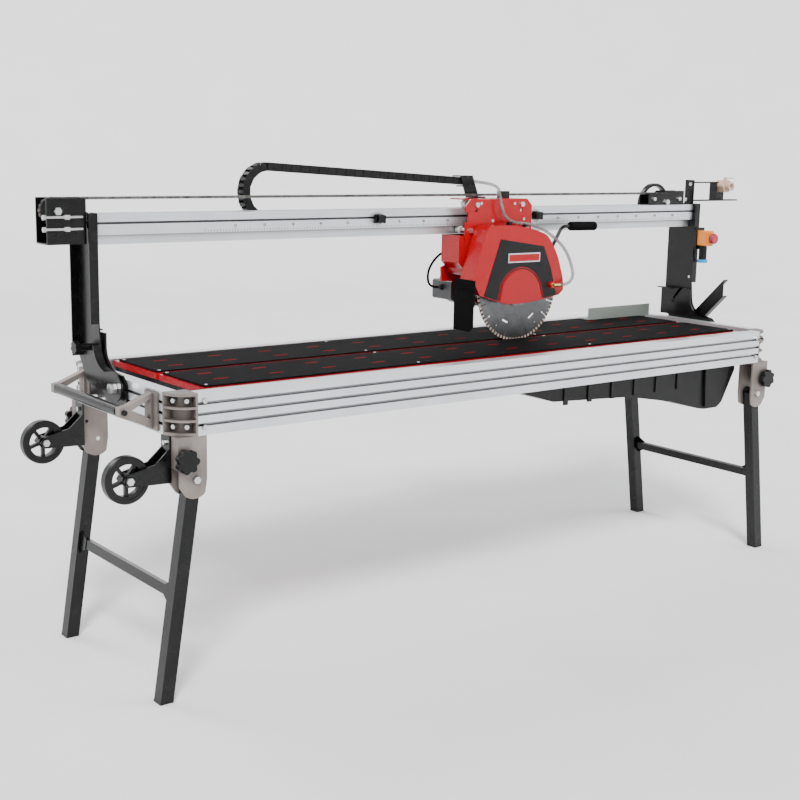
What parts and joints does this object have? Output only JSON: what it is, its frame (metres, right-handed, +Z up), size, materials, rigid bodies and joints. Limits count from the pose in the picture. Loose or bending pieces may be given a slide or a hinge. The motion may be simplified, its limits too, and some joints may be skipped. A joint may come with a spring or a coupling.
{
  "type": "tile cutter",
  "caption": "Long folding-leg bridge tile cutter: tilting beam, chain-linked rolling carriage, red plunging wet saw head, slotted table, water tub and transport wheels.",
  "frame": {"origin": "on the floor under the middle of the whole machine", "axes": "+X along the table towards the switch end, +Y from the working side to the back, +Z up"},
  "size_m": [2.8846, 0.692, 1.4],
  "materials": {
    "rail_aluminium": "clear anodised extrusion",
    "cast_aluminium": "sand-cast, matt",
    "zinc_screw": "bright zinc plate",
    "black_steel": "satin black powder coat",
    "red_steel": "glossy red paint",
    "black_rubber": "ribbed matt rubber",
    "black_plastic": "fine-grained moulded plastic",
    "wheel_plastic": "semi-gloss moulded plastic",
    "galvanised": "spangled zinc",
    "oiled_steel": "oiled steel",
    "blade_steel": "ground steel with sintered rim",
    "motor_grey": "grey painted casting",
    "roller_nylon": "turned nylon",
    "brass": "plain brass",
    "beige_plastic": "moulded beige plastic",
    "yellow_plastic": "orange-yellow plastic",
    "red_plastic": "crimson plastic",
    "clear_hose": "clear soft plastic, slightly cloudy"
  },
  "bodies": {
    "frame": {"long_rails": "rail_aluminium", "end_rails": "rail_aluminium", "corner_castings": "cast_aluminium", "frame_bolts": "zinc_screw", "end_brackets": "cast_aluminium", "cross_bars": "black_steel", "sector_plates": "black_steel", "cross_members": "black_steel", "trays": "red_steel", "mats": "black_rubber", "water_tub": "black_plastic", "wheel_forks": "black_steel"},
    "fence": {"rip_fence": "galvanised", "fence_knobs": "black_plastic"},
    "front_wheel": {"front_wheel": "wheel_plastic"},
    "rear_wheel": {"rear_wheel": "wheel_plastic"},
    "left_legs": {"left_legs": "black_steel"},
    "right_legs": {"right_legs": "black_steel"},
    "knob_front_left": {"leg_knob_front_left": "black_plastic"},
    "knob_front_right": {"leg_knob_front_right": "black_plastic"},
    "knob_rear_left": {"leg_knob_rear_left": "black_plastic"},
    "knob_rear_right": {"leg_knob_rear_right": "black_plastic"},
    "bridge": {"posts": "black_steel", "tilt_clamps": "black_plastic", "beam": "rail_aluminium", "sprocket_boxes": "black_steel", "bridge_bolts": "zinc_screw", "drive_chain": "oiled_steel", "post_brackets": "black_steel", "water_coupling": "beige_plastic", "switch_box": "yellow_plastic", "power_inlet": "black_plastic", "drag_tray": "black_steel"},
    "left_sprocket": {"left_sprocket": "oiled_steel"},
    "right_sprocket": {"right_sprocket": "oiled_steel"},
    "left_stop": {"left_stop": "black_plastic"},
    "right_stop": {"right_stop": "black_plastic"},
    "coupling_lever": {"coupling_lever": "beige_plastic"},
    "stop_button": {"stop_button": "red_plastic"},
    "carriage": {"carriage_body": "red_steel", "hanger": "red_steel", "carriage_bolts": "zinc_screw", "drag_arm": "black_steel", "energy_chain": "black_plastic"},
    "roller_upper_left": {"roller_upper_left": "roller_nylon"},
    "roller_lower_left": {"roller_lower_left": "roller_nylon"},
    "roller_upper_right": {"roller_upper_right": "roller_nylon"},
    "roller_lower_right": {"roller_lower_right": "roller_nylon"},
    "head": {"head_frame": "red_steel", "motor": "motor_grey", "guard": "red_steel", "guard_trim": "black_plastic", "brass_elbow": "brass", "handle_rod": "black_steel", "handle_grip": "black_rubber", "mud_flap": "black_rubber", "water_hose": "clear_hose", "motor_cable": "black_rubber"},
    "blade": {"blade": "blade_steel", "blade_flange": "oiled_steel"}
  },
  "joints": [
    {"name": "bridge_tilt", "type": "hinge", "parent": "frame", "child": "bridge", "pos_m": [-0.05775, -0.024, 0.8], "axis": [1, 0, 0], "range_deg": [0, 45]},
    {"name": "carriage_slide", "type": "slide", "parent": "bridge", "child": "carriage", "axis": [1, 0, 0], "range_m": [-1.08, 0.6], "deforming": ["energy_chain"]},
    {"name": "head_plunge", "type": "hinge", "parent": "carriage", "child": "head", "pos_m": [0.02025, 0.086, 1.062], "axis": [0, -1, 0], "range_deg": [0, 15], "deforming": ["water_hose", "motor_cable"]},
    {"name": "blade_spin", "type": "hinge", "parent": "head", "child": "blade", "pos_m": [0.19025, 0, 0.994], "axis": [0, 1, 0], "continuous": true},
    {"name": "left_sprocket_turn", "type": "hinge", "parent": "bridge", "child": "left_sprocket", "pos_m": [-1.39175, 0.121, 1.268], "axis": [0, 1, 0], "continuous": true},
    {"name": "right_sprocket_turn", "type": "hinge", "parent": "bridge", "child": "right_sprocket", "pos_m": [1.02725, 0.121, 1.268], "axis": [0, 1, 0], "continuous": true},
    {"name": "roller_upper_left_turn", "type": "hinge", "parent": "carriage", "child": "roller_upper_left", "pos_m": [0.03625, 0.0965, 1.2719], "axis": [0, 1, 0], "continuous": true},
    {"name": "roller_lower_left_turn", "type": "hinge", "parent": "carriage", "child": "roller_lower_left", "pos_m": [0.01125, 0.0965, 1.1886], "axis": [0, 1, 0], "continuous": true},
    {"name": "roller_upper_right_turn", "type": "hinge", "parent": "carriage", "child": "roller_upper_right", "pos_m": [0.23625, 0.0965, 1.2719], "axis": [0, 1, 0], "continuous": true},
    {"name": "roller_lower_right_turn", "type": "hinge", "parent": "carriage", "child": "roller_lower_right", "pos_m": [0.26125, 0.0965, 1.1886], "axis": [0, 1, 0], "continuous": true},
    {"name": "left_stop_slide", "type": "slide", "parent": "bridge", "child": "left_stop", "axis": [1, 0, 0], "range_m": [-0.9, 0.3]},
    {"name": "right_stop_slide", "type": "slide", "parent": "bridge", "child": "right_stop", "axis": [1, 0, 0], "range_m": [-0.32, 0.5]},
    {"name": "stop_button_press", "type": "slide", "parent": "bridge", "child": "stop_button", "axis": [0, 1, 0], "range_m": [0, 0.006], "stiffness_N_per_m": 400},
    {"name": "coupling_lever_turn", "type": "hinge", "parent": "bridge", "child": "coupling_lever", "pos_m": [1.37425, 0.105, 1.3565], "axis": [0, 0, 1], "range_deg": [0, 90]},
    {"name": "left_leg_fold", "type": "hinge", "parent": "frame", "child": "left_legs", "pos_m": [-1.20975, 0, 0.598], "axis": [0, -1, 0], "range_deg": [0, 98]},
    {"name": "right_leg_fold", "type": "hinge", "parent": "frame", "child": "right_legs", "pos_m": [1.09425, 0, 0.598], "axis": [0, 1, 0], "range_deg": [0, 80]},
    {"name": "knob_front_left_turn", "type": "hinge", "parent": "frame", "child": "knob_front_left", "pos_m": [-1.24375, -0.322, 0.653], "axis": [0, -1, 0], "continuous": true},
    {"name": "knob_front_right_turn", "type": "hinge", "parent": "frame", "child": "knob_front_right", "pos_m": [1.12825, -0.322, 0.653], "axis": [0, -1, 0], "continuous": true},
    {"name": "knob_rear_left_turn", "type": "hinge", "parent": "frame", "child": "knob_rear_left", "pos_m": [-1.24375, 0.322, 0.653], "axis": [0, 1, 0], "continuous": true},
    {"name": "knob_rear_right_turn", "type": "hinge", "parent": "frame", "child": "knob_rear_right", "pos_m": [1.12825, 0.322, 0.653], "axis": [0, 1, 0], "continuous": true},
    {"name": "front_wheel_turn", "type": "hinge", "parent": "frame", "child": "front_wheel", "pos_m": [-1.37975, -0.262, 0.609], "axis": [0, 1, 0], "continuous": true},
    {"name": "rear_wheel_turn", "type": "hinge", "parent": "frame", "child": "rear_wheel", "pos_m": [-1.37975, 0.262, 0.609], "axis": [0, 1, 0], "continuous": true},
    {"name": "fence_slide", "type": "slide", "parent": "frame", "child": "fence", "axis": [1, 0, 0], "range_m": [-1.8, 0.04]}
  ],
  "couplings": [
    {"joint": "left_sprocket_turn", "follows": "carriage_slide", "rad_per_m": 30.723},
    {"joint": "right_sprocket_turn", "follows": "carriage_slide", "rad_per_m": 30.723},
    {"joint": "roller_upper_left_turn", "follows": "carriage_slide", "rad_per_m": 76.923},
    {"joint": "roller_lower_left_turn", "follows": "carriage_slide", "rad_per_m": -76.923},
    {"joint": "roller_upper_right_turn", "follows": "carriage_slide", "rad_per_m": 76.923},
    {"joint": "roller_lower_right_turn", "follows": "carriage_slide", "rad_per_m": -76.923}
  ]
}
